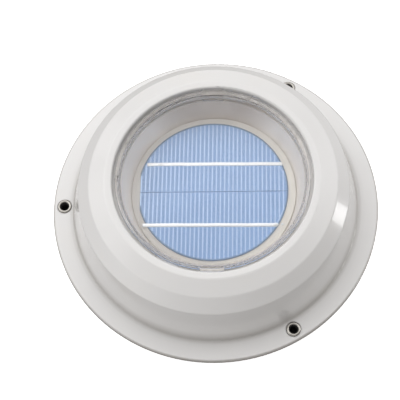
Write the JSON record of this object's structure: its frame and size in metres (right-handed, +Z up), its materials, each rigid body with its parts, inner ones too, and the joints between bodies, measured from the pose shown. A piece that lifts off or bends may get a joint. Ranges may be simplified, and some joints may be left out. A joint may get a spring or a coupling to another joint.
{
  "type": "solar roof ventilator",
  "caption": "Round solar-powered roof vent cover: flanged white dome, clear lens over a solar cell, motor fan in a duct, damper and ceiling trim.",
  "frame": {"origin": "on the fan axis, in the roof plane, at the centre of the three roof screws", "axes": "+Z up out of the roof along the fan axis; one screw lies on -X, the other two 60 degrees either side of +X"},
  "size_m": [0.2164, 0.2164, 0.0876],
  "materials": {
    "cover_white": "semi-gloss moulded ABS",
    "nickel": "polished nickel plate",
    "clear_lens": "clear polycarbonate",
    "seal_rubber": "pale translucent silicone",
    "well_white": "satin moulded ABS",
    "steel_screws": "bright stainless",
    "board_white": "off-white laminate",
    "solar_blue": "blue cell under clear resin",
    "tinned_ribbon": "tinned copper ribbon",
    "inner_white": "moulded ABS",
    "motor_steel": "zinc-plated sheet",
    "motor_black": "moulded nylon",
    "brass": "turned brass",
    "magnet_iron": "ferrite",
    "copper_core": "enamelled copper on laminations",
    "shaft_steel": "ground steel",
    "lead_red": "PVC insulation",
    "lead_black": "PVC insulation",
    "fan_white": "moulded polypropylene",
    "base_white": "semi-gloss moulded ABS",
    "gasket_rubber": "closed-cell foam rubber",
    "mesh_steel": "woven stainless wire",
    "trim_white": "semi-gloss moulded ABS",
    "knob_grey": "moulded ABS"
  },
  "bodies": {
    "housing": {"outer_shell": "cover_white", "screw_sleeves": "nickel", "cell_well": "well_white", "well_screws": "steel_screws", "cell_board": "board_white", "cell_half_upper": "solar_blue", "cell_half_lower": "solar_blue", "ribbon_upper": "tinned_ribbon", "ribbon_lower": "tinned_ribbon", "motor_cup": "inner_white", "cup_screws": "steel_screws", "motor_can": "motor_steel", "motor_end_cap": "motor_black", "motor_terminals": "brass", "motor_magnets": "magnet_iron", "motor_bearing": "brass", "lead_red": "lead_red", "lead_black": "lead_black", "base_ring": "base_white", "roof_gasket": "gasket_rubber", "screen_ring": "inner_white", "insect_mesh": "mesh_steel", "damper_grille": "trim_white", "trim_ring": "trim_white"},
    "rotor": {"fan_rotor": "fan_white", "fan_collet": "brass", "motor_shaft": "shaft_steel", "armature": "copper_core", "commutator": "brass"},
    "lens": {"lens_cap": "clear_lens", "lens_seal": "seal_rubber"},
    "damper": {"damper_disc": "trim_white", "damper_knob": "knob_grey", "damper_clip": "steel_screws"}
  },
  "joints": [
    {"name": "fan_spin", "type": "hinge", "parent": "housing", "child": "rotor", "pos_m": [0, 0, 0], "axis": [0, 0, 1], "continuous": true},
    {"name": "lens_twist", "type": "hinge", "parent": "housing", "child": "lens", "pos_m": [0, 0, 0.05], "axis": [0, 0, 1], "range_deg": [-27, 0]},
    {"name": "damper_turn", "type": "hinge", "parent": "housing", "child": "damper", "pos_m": [0, 0, -0.027], "axis": [0, 0, 1], "range_deg": [0, 30]}
  ]
}
